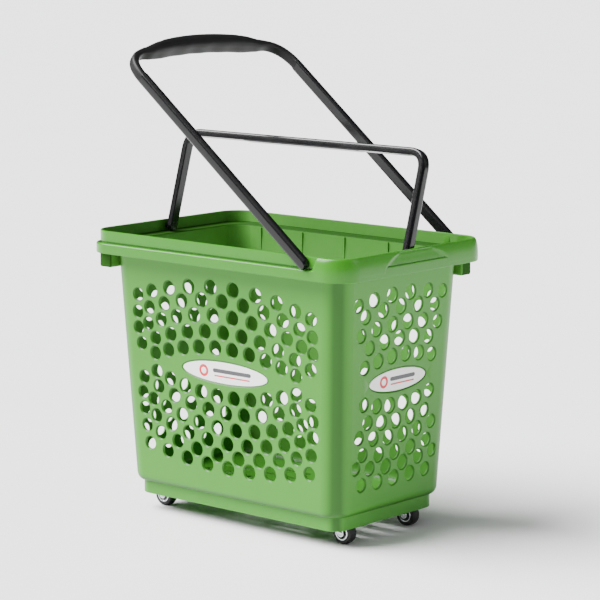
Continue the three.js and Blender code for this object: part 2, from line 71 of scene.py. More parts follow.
camera = link(bpy.data.objects.new("camera", bpy.data.cameras.new("camera")))
camera.data.lens = CAMERA_LENS_MM
camera.data.sensor_width = 36.0
camera.data.clip_end = 200.0
aimed(camera, CAMERA_AZIMUTH, CAMERA_ELEVATION, CAMERA_DISTANCE, CAMERA_AIM)
bpy.context.scene.camera = camera


def sun(name, azimuth, elevation, strength, angle):
    lamp = bpy.data.lights.new(name, "SUN")
    lamp.energy = strength
    lamp.angle = math.radians(angle)
    aimed(link(bpy.data.objects.new(name, lamp)), azimuth, elevation, 10.0, Vector((0.0, 0.0, 0.0)))


sun("key_light", -50.0, 48.0, 12.5, 50.0)
sun("top_light", 20.0, 80.0, 0.6, 60.0)
sun("rim_light", 125.0, 25.0, 0.5, 30.0)

world = bpy.data.worlds.new("studio")
world.use_nodes = True
world.node_tree.nodes["Background"].inputs["Color"].default_value = (0.93, 0.96, 1.0, 1.0)
world.node_tree.nodes["Background"].inputs["Strength"].default_value = 0.1
bpy.context.scene.world = world


def linear(code):
    """An sRGB hex colour as linear RGBA."""
    channels = [int(code[i:i + 2], 16) / 255.0 for i in (1, 3, 5)]
    return [c / 12.92 if c <= 0.04045 else ((c + 0.055) / 1.055) ** 2.4 for c in channels] + [1.0]


def add_node(material, kind, settings=None, links=None):
    """Adds a node, sets its sockets or properties by name, and links (node, output) pairs to its sockets."""
    made = material.node_tree.nodes.new(kind)
    for name, value in (settings or {}).items():
        if name in made.inputs:
            made.inputs[name].default_value = value
        else:
            setattr(made, name, value)
    for name, (source, output) in (links or {}).items():
        material.node_tree.links.new(source.outputs[output], made.inputs[name])
    return made


def new_material(name):
    material = bpy.data.materials.new(name)
    material.use_nodes = True
    material.node_tree.nodes.clear()
    return material


def paint_shade_on_corners(material, place, tint, colour):
    """Mixes a darker colour in where the surface turns away from its flats, on the corners and under the
    edges: painted shade.
    """
    split = add_node(material, "ShaderNodeSeparateXYZ", None, {"Vector": (place, "Normal")})
    flat_x = add_node(material, "ShaderNodeMath", {"operation": "ABSOLUTE"}, {0: (split, "X")})
    flat_y = add_node(material, "ShaderNodeMath", {"operation": "ABSOLUTE"}, {0: (split, "Y")})
    sides = add_node(material, "ShaderNodeMath", {"operation": "MAXIMUM"}, {0: (flat_x, 0), 1: (flat_y, 0)})
    flats = add_node(material, "ShaderNodeMath", {"operation": "MAXIMUM"}, {0: (sides, 0), 1: (split, "Z")})
    # The mask is full on the corners and on downward faces, where the painted shade goes.
    shade_mask = add_node(material, "ShaderNodeMapRange", {"interpolation_type": "SMOOTHSTEP", "From Min": 0.985,
                                                     "From Max": 0.8}, {"Value": (flats, 0)})
    shaded_tint = add_node(material, "ShaderNodeMix", {"data_type": "RGBA"}, {"Factor": (shade_mask, "Result")})
    material.node_tree.links.new(tint.outputs[2], shaded_tint.inputs[6])
    shaded_tint.inputs[7].default_value = linear(colour)
    return shaded_tint


def moulded(name, low, high, mottle_mm, roughness, grain_mm, grain_height_mm, specular=0.5, metallic=0.0,
            radii=None):
    """A moulded, plated or printed finish: a soft mottle between two colours, a fine surface grain, and, when
    a radii colour is given, painted shade on the corners and undersides.
    """
    material = new_material(name)
    place = add_node(material, "ShaderNodeTexCoord")
    mottle = add_node(material, "ShaderNodeTexNoise", {"Scale": 1.0 / (mottle_mm * MM), "Detail": 3.0},
                      {"Vector": (place, "Object")})
    tint = add_node(material, "ShaderNodeMix", {"data_type": "RGBA"}, {"Factor": (mottle, "Fac")})
    tint.inputs[6].default_value = linear(low)
    tint.inputs[7].default_value = linear(high)
    grain = add_node(material, "ShaderNodeTexNoise", {"Scale": 1.0 / (grain_mm * MM), "Detail": 2.0},
                     {"Vector": (place, "Object")})
    bump = add_node(material, "ShaderNodeBump", {"Strength": 1.0, "Distance": grain_height_mm * MM},
                    {"Height": (grain, "Fac")})
    shine = add_node(material, "ShaderNodeMapRange", {"To Min": roughness - 0.05, "To Max": roughness + 0.05},
                     {"Value": (mottle, "Fac")})
    shader = add_node(material, "ShaderNodeBsdfPrincipled",
                      {"Metallic": metallic, "Specular IOR Level": specular})
    links = material.node_tree.links
    # Painted shade: the radii colour goes onto the corners and onto faces that turn down.
    if radii:
        tint = paint_shade_on_corners(material, place, tint, radii)
    links.new(tint.outputs[2], shader.inputs["Base Color"])
    links.new(shine.outputs["Result"], shader.inputs["Roughness"])
    links.new(bump.outputs["Normal"], shader.inputs["Normal"])
    add_node(material, "ShaderNodeOutputMaterial", None, {"Surface": (shader, "BSDF")})
    return material


# The floor is a plain matt white sweep. Its mottle is far too faint to read as a pattern.
white_floor = moulded("white_studio_floor", "#f4f4f4", "#f8f8f8", 400.0, 0.9, 20.0, 0.0, specular=0.1)
bpy.ops.mesh.primitive_plane_add(size=FLOOR_SIZE)
floor = bpy.context.object
floor.name = "studio_floor"
floor.data.materials.append(white_floor)


# ---------------------------------------------------------------------------
# Basket body: one injection moulding in green polypropylene, 4 mm thick.
# Walls, floor, plinth and rim are a single skin. The punched-looking holes are
# moulded through the walls, with softly rounded edges.
# ---------------------------------------------------------------------------
WALL = 4.0
CORNER_STEPS = 10
PLINTH_X, PLINTH_Y, PLINTH_RADIUS = 208.3, 118.7, 22.0
PLINTH_BOTTOM, FLOOR_UNDERSIDE, FLOOR_TOP = 27.0, 47.2, 50.5
BODY_X, BODY_Y, BODY_RADIUS, BODY_BOTTOM = 219.1, 131.0, 34.0, 62.4
TAPER_X, TAPER_Y = 0.0502, 0.049
LOWER_EDGE_INSET, LOWER_EDGE_HEIGHT, INNER_EDGE_INSET = 10.3, 14.4, 9.0
SHELF_Z, SHELF_UNDERSIDE, INNER_WALL_TOP = 431.5, 428.5, 430.0
LIP_X, LIP_Y, LIP_RADIUS, LIP_BOTTOM, LIP_THICKNESS = 264.9, 174.8, 40.0, 415.3, 3.0
BAND_X, BAND_Y, BAND_RADIUS, BAND_TOP, BAND_THICKNESS = 260.5, 168.8, 38.0, 451.0, 3.5
PATTERN_Z = 247.8
HOLE_RADIUS, HOLE_SHRINK, HOLE_CORNER_REACH = 11.1, 1.4, 6.0
HOLE_STEPS = 28
SLOT_HALF, SLOT_RADIUS = 35.0, 4.0
# Rows from the label outwards, mirrored above and below it: crest height, droop at the end of the span,
# pitch, how much the pitch closes up towards the ends, first and last step.
LONG_WALL_ROWS = [
    (38.3, 34.0, 35.0, 0.124, 0.5, 4.5),
    (63.3, 36.5, 37.8, 0.115, 0.0, 5.0),
    (88.7, 35.0, 39.8, 0.237, 0.5, 5.5),
    (112.1, 33.5, 42.8, 0.284, 0.0, 5.0),
    (132.8, 28.0, 45.6, 0.325, 0.5, 4.5),
    (150.8, 18.0, 45.6, 0.169, 0.0, 4.0),
]
END_WALL_ROWS = [
    (38.5, 13.0, 32.5, 0.14, 0.5, 2.5),
    (64.0, 11.0, 34.7, 0.08, 0.0, 2.0),
    (88.0, 10.0, 36.0, 0.1, 0.5, 2.5),
    (113.0, 9.0, 39.5, 0.0, 0.0, 2.0),
    (133.0, 7.0, 42.0, 0.6, 0.5, 2.5),
    (153.5, 1.0, 41.0, 0.2, 0.0, 2.0),
]
LONG_WALL_SPAN, END_WALL_SPAN = 175.0, 90.0
LABEL_HALF_HEIGHT = 16.6
LONG_LABEL_HALF, END_LABEL_HALF = 87.7, 66.2
LABEL_STEPS = 72
WALLS = [("front", 0.0, True), ("right", 90.0, False), ("back", 180.0, True), ("left", -90.0, False)]


class Skin:
    """Points in millimetres and faces, gathered into one mesh."""

    def __init__(self):
        self.points = []
        self.faces = []

    def add(self, points):
        start = len(self.points)
        self.points.extend(Vector(p) for p in points)
        return list(range(start, len(self.points)))

    def band(self, low, high, skip=()):
        for i in range(len(low)):
            if i not in skip:
                j = (i + 1) % len(low)
                self.faces.append((low[i], low[j], high[j], high[i]))

    def finish(self, name, material, crease=35.0):
        mesh = bpy.data.meshes.new(name)
        mesh.from_pydata([p * MM for p in self.points], [], self.faces)
        work = bmesh.new()
        work.from_mesh(mesh)
        bmesh.ops.remove_doubles(work, verts=work.verts, dist=0.01 * MM)
        bmesh.ops.dissolve_degenerate(work, edges=work.edges, dist=0.001 * MM)
        bmesh.ops.recalc_face_normals(work, faces=work.faces)
        work.to_mesh(mesh)
        work.free()
        return smooth(link(bpy.data.objects.new(name, mesh)), material, crease)


def smooth(piece, material, crease):
    """Shades a piece smooth with its flats kept flat, and gives it its material."""
    mesh = piece.data
    mesh.polygons.foreach_set("use_smooth", [True] * len(mesh.polygons))
    mesh.set_sharp_from_angle(angle=math.radians(crease))
    mesh.materials.clear()
    mesh.materials.append(material)
    weighted = piece.modifiers.new("weighted_normals", "WEIGHTED_NORMAL")
    weighted.keep_sharp = True
    return piece


def wall_x(z):
    return BODY_X + TAPER_X * (z - BODY_BOTTOM)


def wall_y(z):
    return BODY_Y + TAPER_Y * (z - BODY_BOTTOM)


def outline(half_x, half_y, radius, z, steps=CORNER_STEPS):
    """A rounded rectangle at height z, anticlockwise from the +X side."""
    points = []
    for corner in range(4):
        sign_x = 1 if corner in (0, 3) else -1
        sign_y = 1 if corner in (0, 1) else -1
        for step in range(steps + 1):
            angle = math.radians(90.0 * corner + 90.0 * step / steps)
            x = sign_x * (half_x - radius) + radius * math.cos(angle)
            y = sign_y * (half_y - radius) + radius * math.sin(angle)
            points.append((x, y, z))
    return points


def offset_outline(x, y, radius, inset, z):
    return outline(x - inset, y - inset, radius - inset, z)


FLATS = [corner * (CORNER_STEPS + 1) + CORNER_STEPS for corner in range(4)]


def hole_places(rows, span, half_at):
    """Centres and radii of the holes in one wall. Holes shrink a little towards its ends."""
    places = []
    for direction in (1, -1):
        for index, (crest, droop, pitch, crowding, first, last) in enumerate(rows):
            if direction > 0 and index == len(rows) - 1:
                continue
            step = first
            while step <= last:
                along = pitch * step - crowding * step ** 3
                z = PATTERN_Z + direction * (crest - droop * (along / span) ** 2)
                placed = along * half_at(z) / half_at(PATTERN_Z)
                radius = HOLE_RADIUS - HOLE_SHRINK * (along / span) ** 2
                if placed + radius < half_at(z) - BODY_RADIUS + HOLE_CORNER_REACH:
                    places += [(side * placed, z, radius) for side in ((1, -1) if step > 0 else (1,))]
                step += 1
    return places


def on_wall(turn, long_wall):
    """Gives the function that places a point of a wall by distance along it, height, and depth in it."""
    turned = Matrix.Rotation(math.radians(turn), 3, "Z")
    half_at = wall_y if long_wall else wall_x
    return lambda u, z, depth: turned @ Vector((u, depth - half_at(z), z))


def oval(half_width, half_height, steps):
    return [(half_width * math.cos(2 * math.pi * i / steps), half_height * math.sin(2 * math.pi * i / steps))
            for i in range(steps)]


def pierced_panel(skin, boundary, loops, inside_hole, place):
    """A flat panel between a boundary and the loops of its holes, all as 2-D points."""
    flat = list(boundary)
    edges = [(i, (i + 1) % len(boundary)) for i in range(len(boundary))]
    for loop in loops:
        start = len(flat)
        flat += loop
        edges += [(start + i, start + (i + 1) % len(loop)) for i in range(len(loop))]
    made = delaunay_2d_cdt([Vector(p) for p in flat], edges, [], 1, 1e-5)
    points, faces = made[0], made[2]
    indices = skin.add([place(p.x, p.y) for p in points])
    for face in faces:
        middle = sum((points[i] for i in face), Vector((0.0, 0.0))) / len(face)
        if not inside_hole(middle):
            skin.faces.append([indices[i] for i in face])


def ring_stack(skin, rings):
    rows = [skin.add(ring) for ring in rings]
    for low, high in zip(rows, rows[1:]):
        skin.band(low, high)
    return rows


# Edges of the holes and of the label recess: pairs of an offset outwards and a depth below the outer face.
HOLE_EDGE = [(2.1, 0.0), (1.85, 0.1), (0.25, 1.6), (0.0, 2.0),
             (0.0, WALL - 0.8), (0.3, WALL - 0.2), (0.9, WALL)]
LABEL_RECESS = [(3.4, 0.0), (2.7, 0.25), (1.2, 1.45), (0.6, 1.7)]


def wall_skins(skin, turn, long_wall, low, high_outer, high_inner):
    place = on_wall(turn, long_wall)
    along = wall_x if long_wall else wall_y
    rows, span = (LONG_WALL_ROWS, LONG_WALL_SPAN) if long_wall else (END_WALL_ROWS, END_WALL_SPAN)
    holes = hole_places(rows, span, along)
    label_half = LONG_LABEL_HALF if long_wall else END_LABEL_HALF
    outer_edge, inner_edge = HOLE_EDGE[0][0], HOLE_EDGE[-1][0]

    def circles(edge):
        return [[(u + (radius + edge) * x, z + (radius + edge) * y) for x, y in oval(1, 1, HOLE_STEPS)]
                for u, z, radius in holes]

    recess = [(x, PATTERN_Z + z) for x, z in
              oval(label_half + LABEL_RECESS[0][0], LABEL_HALF_HEIGHT + LABEL_RECESS[0][0], LABEL_STEPS)]

    def in_hole(p, edge=inner_edge):
        return any((p.x - u) ** 2 + (p.y - z) ** 2 < (radius + edge) ** 2 * 0.98 for u, z, radius in holes)

    def in_hole_or_recess(p):
        oval_x, oval_z = label_half + LABEL_RECESS[0][0], LABEL_HALF_HEIGHT + LABEL_RECESS[0][0]
        return in_hole(p, outer_edge) or (p.x / oval_x) ** 2 + ((p.y - PATTERN_Z) / oval_z) ** 2 < 0.99

    def boundary(top):
        left_low, left_top = along(low) - BODY_RADIUS, along(top) - BODY_RADIUS
        return [(-left_low, low), (left_low, low), (left_top, top), (-left_top, top)]

    pierced_panel(skin, boundary(high_outer), circles(outer_edge) + [recess], in_hole_or_recess,
                  lambda u, z: place(u, z, 0.0))
    pierced_panel(skin, boundary(high_inner), circles(inner_edge), in_hole, lambda u, z: place(u, z, WALL))
    for u, z, radius in holes:
        ring_stack(skin, [[place(u + (radius + grow) * x, z + (radius + grow) * y, depth)
                           for x, y in oval(1, 1, HOLE_STEPS)] for grow, depth in HOLE_EDGE])
    rings = [[place(x, PATTERN_Z + z, depth)
              for x, z in oval(label_half + grow, LABEL_HALF_HEIGHT + grow, LABEL_STEPS)]
             for grow, depth in LABEL_RECESS]
    skin.faces.append(ring_stack(skin, rings)[-1])


def floor_slots():
    """Centres of the drain slots in the floor, clear of the castors."""
    for x in (-135.0, -45.0, 45.0, 135.0):
        for y in (-72.0, -36.0, 0.0, 36.0, 72.0):
            if abs(x) < 90.0 or abs(y) < 50.0:
                yield x, y


def slot_outline(x, y, steps=8):
    points = []
    for end in (1, -1):
        for step in range(steps + 1):
            angle = math.radians(-90.0 * end + 180.0 * step / steps)
            points.append((x + end * (SLOT_HALF - SLOT_RADIUS) + SLOT_RADIUS * math.cos(angle),
                           y + SLOT_RADIUS * math.sin(angle)))
    return points


def basket_skin():
    skin = Skin()
    profile = [offset_outline(PLINTH_X, PLINTH_Y, PLINTH_RADIUS, inset, z) for inset, z in
               [(3.0, FLOOR_UNDERSIDE), (3.0, 28.2), (2.6, 27.4), (1.9, PLINTH_BOTTOM), (1.0, PLINTH_BOTTOM),
                (0.3, 27.4), (0.0, 28.2), (0.0, 46.6), (-0.3, 47.4)]]
    for step in range(9):
        angle = math.radians(90.0 * step / 8)
        inset = LOWER_EDGE_INSET * (1 - math.sin(angle))
        profile.append(offset_outline(BODY_X, BODY_Y, BODY_RADIUS, inset,
                                      BODY_BOTTOM - LOWER_EDGE_HEIGHT * math.cos(angle)))
    outer_wall = len(profile) - 1
    profile.append(offset_outline(wall_x(SHELF_UNDERSIDE), wall_y(SHELF_UNDERSIDE), BODY_RADIUS, 0.0,
                                  SHELF_UNDERSIDE))
    profile += [offset_outline(LIP_X, LIP_Y, LIP_RADIUS, inset, z) for inset, z in
                [(LIP_THICKNESS, SHELF_UNDERSIDE), (LIP_THICKNESS, 416.4), (2.5, 415.6), (1.6, LIP_BOTTOM),
                 (0.6, 415.6), (0.0, 416.6), (0.0, 429.0), (0.4, 430.4), (1.5, 431.3), (2.6, SHELF_Z)]]
    profile += [offset_outline(BAND_X, BAND_Y, BAND_RADIUS, inset, z) for inset, z in
                [(1.9, SHELF_Z), (1.9, 433.6), (0.2, 434.3), (0.0, 434.8), (0.0, 449.4), (0.4, 450.5),
                 (1.3, BAND_TOP), (2.2, BAND_TOP), (3.1, 450.5), (BAND_THICKNESS, 449.4),
                 (BAND_THICKNESS, 433.0), (4.4, 431.7)]]
    ledge_x, ledge_y = wall_x(INNER_WALL_TOP) - WALL, wall_y(INNER_WALL_TOP) - WALL
    rounding = SHELF_Z - INNER_WALL_TOP - 0.1
    profile.append(outline(ledge_x + rounding, ledge_y + rounding, BODY_RADIUS - WALL + rounding, SHELF_Z))
    profile.append(outline(ledge_x, ledge_y, BODY_RADIUS - WALL, INNER_WALL_TOP))
    inner_wall = len(profile) - 1
    for step in range(7):
        angle = math.radians(90.0 * step / 6)
        inset = INNER_EDGE_INSET * (1 - math.cos(angle))
        profile.append(offset_outline(BODY_X - WALL, BODY_Y - WALL, BODY_RADIUS - WALL, inset,
                                      BODY_BOTTOM - (BODY_BOTTOM - FLOOR_TOP) * math.sin(angle)))
    rows = [skin.add(points) for points in profile]
    for i, (low, high) in enumerate(zip(rows, rows[1:])):
        skin.band(low, high, skip=FLATS if i in (outer_wall, inner_wall) else ())
    for name, turn, long_wall in WALLS:
        wall_skins(skin, turn, long_wall, BODY_BOTTOM, SHELF_UNDERSIDE, INNER_WALL_TOP)
    slots = [slot_outline(x, y) for x, y in floor_slots()]

    def in_slot(p):
        straight = SLOT_HALF - SLOT_RADIUS
        return any(math.hypot(max(0.0, abs(p.x - x) - straight), p.y - y) < SLOT_RADIUS - 0.02
                   for x, y in floor_slots())

    for ring, z in ((profile[0], FLOOR_UNDERSIDE), (profile[-1], FLOOR_TOP)):
        pierced_panel(skin, [(p[0], p[1]) for p in ring], slots, in_slot, lambda x, y, z=z: (x, y, z))
    for slot in slots:
        ring_stack(skin, [[(x, y, z) for x, y in slot] for z in (FLOOR_TOP, FLOOR_UNDERSIDE)])
    return skin


# Green polypropylene, moulded in a finely eroded tool: satin, evenly coloured through, slightly waxy. Its
# corners and the faces under its edges are painted a darker green as painted shade.
green_painted_corner_shade = moulded("green_moulded_polypropylene_painted_corner_shade", "#3a8020", "#408726", 60.0, 0.4, 1.2, 0.012,
                              specular=0.3, radii="#265f0e")
# The rim is polished in the tool, so it shows a deeper, cleaner green than the textured walls.
polished_green = moulded("green_polished_polypropylene", "#33781a", "#397f1f", 60.0, 0.3, 2.0, 0.004,
                         specular=0.3)
# The core side of the tool is left matt. The inside faces are painted a paler, greyer green than the outside:
# painted light on the shaded inside.
inner_green_painted_light = moulded("green_matt_inner_painted_light_polypropylene", "#427f2c", "#488632", 60.0, 0.55, 1.5, 0.01,
                      specular=0.2)
# The channel floor and the lugs are rough from the tool and hardly shine. Their dark green is painted shade,
# standing in for the shade of the band and the lip.
channel_green_painted_shade = moulded("green_rough_painted_shade_polypropylene", "#1c440b", "#214c10", 30.0, 0.7, 1.0, 0.02,
                        specular=0.08)
basket = basket_skin().finish("basket_body_moulding", green_painted_corner_shade)
for finish in (polished_green, inner_green_painted_light, channel_green_painted_shade):
    basket.data.materials.append(finish)
# The channel floor gets the dark painted shade, the inward faces get the paler painted light, and the outside
# of the rim gets the polished green.
for face in basket.data.polygons:
    x, y, z = (abs(c) / MM for c in face.center)
    on_long_wall = y / BAND_Y > x / BAND_X
    outwards = face.normal.y * face.center.y if on_long_wall else face.normal.x * face.center.x
    inside_band = x < BAND_X - 3.0 and y < BAND_Y - 3.0
    if inside_band and INNER_WALL_TOP - 0.1 < z < SHELF_Z + 1.0:
        face.material_index = 3
    elif outwards < 0.0 and abs(face.normal.z) < 0.5 and z > FLOOR_TOP:
        face.material_index = 2
    elif z > LIP_BOTTOM - 1.0 and (x > wall_x(z) + 1.0 or y > wall_y(z) + 1.0):
        face.material_index = 1
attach(basket, "basket")
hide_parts("basket_body")


# ---------------------------------------------------------------------------
# Raised rim grip at the +X end, moulded with the body. The lip and the band are
# filled out here to one fat rounded edge to lift the basket by, with a shallow
# thumb dish in its outer face. Its ramped ends stop the handle channel.
# ---------------------------------------------------------------------------
GRIP_RIM_START, GRIP_RIM_FULL = 202.0, 214.0
GRIP_RIM_BOTTOM = 430.2
DISH_DEPTH, DISH_HALF_TOP, DISH_HALF_BOTTOM = 2.0, 34.0, 76.0
FRONT_STATIONS, CORNER_STATIONS, END_STATIONS = 14, 15, 120
# The section, anticlockwise: distance in from the outer face, or from the inner one, and height.
RIM_SECTION = [("outer", 0.5, 419.5), ("outer", -0.12, 421.5)]
RIM_SECTION += [("outer", 6.3 - 6.42 * math.cos(math.radians(a)), 425.0 + 25.8 * math.sin(math.radians(a)))
                for a in (0, 7, 14, 21, 28, 35, 42, 49, 56, 63, 70, 77, 84)]
RIM_SECTION += [("inner", 1.2, 450.95), ("inner", 0.5, 450.6), ("inner", 0.0, 449.8), ("inner", -0.15, 448.6),
                ("inner", -0.15, 434.0), ("inner", 0.8, 431.0), ("inner", 2.2, GRIP_RIM_BOTTOM),
                ("outer", 2.2, GRIP_RIM_BOTTOM), ("outer", 2.2, 423.0)]


def smoothstep(value, low, high):
    t = min(1.0, max(0.0, (value - low) / (high - low)))
    return t * t * (3.0 - 2.0 * t)


def rim_stations():
    """Outer point, inner point and inward direction round the +X end of the rim, from front to back."""
    lip_x, lip_y = LIP_X - LIP_RADIUS, LIP_Y - LIP_RADIUS
    band_x, band_y = BAND_X - BAND_RADIUS, BAND_Y - BAND_RADIUS
    inner_radius = BAND_RADIUS - BAND_THICKNESS
    stations = []
    for i in range(FRONT_STATIONS):
        x = GRIP_RIM_START + (band_x - GRIP_RIM_START) * i / FRONT_STATIONS
        stations.append((Vector((x, -LIP_Y)), Vector((x, -BAND_Y + BAND_THICKNESS)), Vector((0.0, 1.0))))
    for i in range(CORNER_STATIONS):
        angle = math.radians(-90.0 + 90.0 * i / (CORNER_STATIONS - 1))
        out = Vector((math.cos(angle), math.sin(angle)))
        stations.append((Vector((lip_x, -lip_y)) + out * LIP_RADIUS,
                         Vector((band_x, -band_y)) + out * inner_radius, -out))
    for i in range(1, END_STATIONS):
        t = -1.0 + 2.0 * i / END_STATIONS
        stations.append((Vector((LIP_X, lip_y * t)), Vector((BAND_X - BAND_THICKNESS, band_y * t)),
                         Vector((-1.0, 0.0))))
    before_end = FRONT_STATIONS + CORNER_STATIONS
    mirrored = [tuple(Vector((v.x, -v.y)) for v in station) for station in reversed(stations[:before_end])]
    return stations + mirrored


def dish(y, z):
    """Depth of the thumb dish in the outer face."""
    half = DISH_HALF_BOTTOM + (DISH_HALF_TOP - DISH_HALF_BOTTOM) * ((z - 421.0) / 30.0) ** 2
    across = 1.0 - smoothstep(abs(y), half - 4.5, half)
    return DISH_DEPTH * across * (1.0 - 0.6 * smoothstep(z, 440.0, 450.0))


def rim_grip():
    skin = Skin()
    rings = []
    for outer, inner, inward in rim_stations():
        rise = smoothstep(outer.x, GRIP_RIM_START, GRIP_RIM_FULL)
        ring = []
        for side, distance, z in RIM_SECTION:
            height = GRIP_RIM_BOTTOM + (z - GRIP_RIM_BOTTOM) * rise if z > GRIP_RIM_BOTTOM else z
            sunk = (1.0 - rise) * 0.8
            if side == "outer":
                dished = dish(outer.y, z) if outer.x > LIP_X - 1.0 else 0.0
                place = outer + inward * (distance + sunk + dished)
            else:
                place = inner - inward * (distance + sunk)
            ring.append((place.x, place.y, height))
        rings.append(ring)
    rows = ring_stack(skin, rings)
    skin.faces += [rows[0], rows[-1]]
    return skin


end_grip = rim_grip().finish("rim_end_grip", polished_green, 40.0)
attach(end_grip, "basket")


# ---------------------------------------------------------------------------
# Stacking lugs under the lip, and thin ribs inside the long walls, all moulded
# with the body. The lugs are hollow from below, as thick lumps would sink.
# ---------------------------------------------------------------------------
LUG_DEPTH, LUG_WIDTH, LUG_BOTTOM, LUG_TOP = 24.0, 44.0, 390.0, 428.6
LUG_PLACES = [(-90.0, -130.0), (-90.0, 130.0), (180.0, -214.0), (180.0, 214.0)]
RIB_MIDDLE = 411.0
RIB_PLACES = [(turn, along) for turn in (0.0, 180.0) for along in (-180.0, -90.0, 0.0, 90.0, 180.0)]


def upright_block(skin, turn, along, half, near, far, rings):
    """A moulded block standing on a wall: rings are pairs of an inset and a height."""
    turned = Matrix.Rotation(math.radians(turn), 3, "Z")
    loops = []
    for inset, z in rings:
        radius = max(0.2, min(2.5, half - 0.1) - inset)
        loop = outline(half - inset, (far - near) / 2 - inset, radius, z, 4)
        loops.append([turned @ Vector((along + p[0], -(near + far) / 2 + p[1], p[2])) for p in loop])
    rows = ring_stack(skin, loops)
    skin.faces += [rows[0], rows[-1]]


lugs = Skin()
for turn, along in LUG_PLACES:
    face = (wall_y if turn == 180.0 else wall_x)((LUG_BOTTOM + LUG_TOP) / 2) - WALL + 1.0
    upright_block(lugs, turn, along, LUG_WIDTH / 2, face, face + LUG_DEPTH, [
        (0.3, LUG_TOP), (0.0, LUG_BOTTOM + 4.0), (0.4, LUG_BOTTOM + 1.6), (1.5, LUG_BOTTOM + 0.3),
        (2.4, LUG_BOTTOM), (3.2, LUG_BOTTOM + 0.6), (3.6, LUG_BOTTOM + 18.0)])
for turn, along in RIB_PLACES:
    face = wall_y(RIB_MIDDLE) - WALL
    upright_block(lugs, turn, along, 0.5, face - 1.6, face + 3.0, [
        (0.4, RIB_MIDDLE - 25.0), (0.0, RIB_MIDDLE - 22.0),
        (0.0, RIB_MIDDLE + 16.0), (0.2, RIB_MIDDLE + 18.0)])
lug_piece = lugs.finish("lugs_and_ribs", inner_green_painted_light, 30.0)
# Lug faces outside the wall get the dark painted shade; the rest, and the ribs, keep the paler painted light
# of the inside.
lug_piece.data.materials.append(channel_green_painted_shade)
for face in lug_piece.data.polygons:
    x, y, z = (abs(c) / MM for c in face.center)
    if x > wall_x(z) or y > wall_y(z):
        face.material_index = 1
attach(lug_piece, "basket")


# ---------------------------------------------------------------------------
# Oval labels, one in a shallow recess of each wall. Each is a printed white
# plastic plate, pressed in. The print is a plain ring and two plain bars.
# ---------------------------------------------------------------------------
LABEL_EDGE = [(0.0, 1.55), (0.0, 0.8), (-0.35, 0.5), (-1.6, 0.4)]
PRINT_DEPTH = 0.28


def oval_plate(skin, place, half_width, half_height, height, rings):
    loops = [[place(x, height + z, depth)
              for x, z in oval(half_width + grow, half_height + grow, LABEL_STEPS)] for grow, depth in rings]
    rows = ring_stack(skin, loops)
    skin.faces += [rows[0], rows[-1]]


def bar_plate(skin, place, centre, half_length, half_height, rings):
    loops = []
    for grow, depth in rings:
        radius = half_height + grow
        loop = outline(half_length + grow, radius, radius * 0.98, 0.0, 6)
        loops.append([place(centre[0] + p[0], centre[1] + p[1], depth) for p in loop])
    rows = ring_stack(skin, loops)
    skin.faces += [rows[0], rows[-1]]


def ring_plate(skin, place, centre, outer, inner, rings):
    circles = [(outer + grow, depth) for grow, depth in rings]
    circles += [(inner - grow, depth) for grow, depth in reversed(rings)]
    rows = ring_stack(skin, [[place(centre[0] + radius * x, centre[1] + radius * z, depth)
                              for x, z in oval(1, 1, 48)] for radius, depth in circles])
    skin.band(rows[-1], rows[0])


PRINT_EDGE = [(0.0, 0.7), (0.0, PRINT_DEPTH + 0.05), (-0.08, PRINT_DEPTH)]
# White label film, glossy and even. The inks are screen printed: thin, slightly raised and a little duller.
label_film = moulded("white_gloss_label_film", "#eeeeec", "#f4f4f2", 30.0, 0.3, 3.0, 0.004)
red_ink = moulded("red_screen_ink", "#c01c26", "#cc242e", 12.0, 0.4, 0.8, 0.006)
grey_ink = moulded("dark_grey_screen_ink", "#3c3c40", "#48484c", 12.0, 0.4, 0.8, 0.006)
for name, turn, long_wall in WALLS:
    place = on_wall(turn, long_wall)
    half = LONG_LABEL_HALF if long_wall else END_LABEL_HALF
    plate = Skin()
    oval_plate(plate, place, half, LABEL_HALF_HEIGHT, PATTERN_Z, LABEL_EDGE)
    red, grey = Skin(), Skin()
    ring_plate(red, place, (-0.5 * half, PATTERN_Z), 9.5, 5.2, PRINT_EDGE)
    bar_plate(red, place, (0.17 * half, PATTERN_Z - 5.6), 0.42 * half, 1.1, PRINT_EDGE)
    bar_plate(grey, place, (0.17 * half, PATTERN_Z + 2.6), 0.45 * half, 3.1, PRINT_EDGE)
    pieces = [
        (plate.finish("label_" + name, label_film, 30.0), "label_plate_" + name),
        (red.finish("label_red_print_" + name, red_ink, 30.0), None),
        (grey.finish("label_grey_print_" + name, grey_ink, 30.0), None),
    ]
    for piece, node in pieces:
        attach(piece, "basket")
        if node:
            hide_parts(node)


# ---------------------------------------------------------------------------
# Pull handle: a long U of black polypropylene, moulded in one piece. Its arms
# have a shallow channel down each wide face, and pivot on pegs in the rim.
# ---------------------------------------------------------------------------
PULL_PIVOT = Vector((190.0, 0.0, 441.0))
PULL_ANGLE = 38.4
PULL_ARM_Y, PULL_SPLAY, PULL_BAR, PULL_BOW, PULL_BEND = 175.5, 3.0, 463.5, 12.5, 54.0
PULL_HALF_THICKNESS, PULL_HALF_WIDTH = 6.0, 8.5
CORE_INSET = 1.0
END_ANGLES = (86, 70, 55, 40, 27, 14)


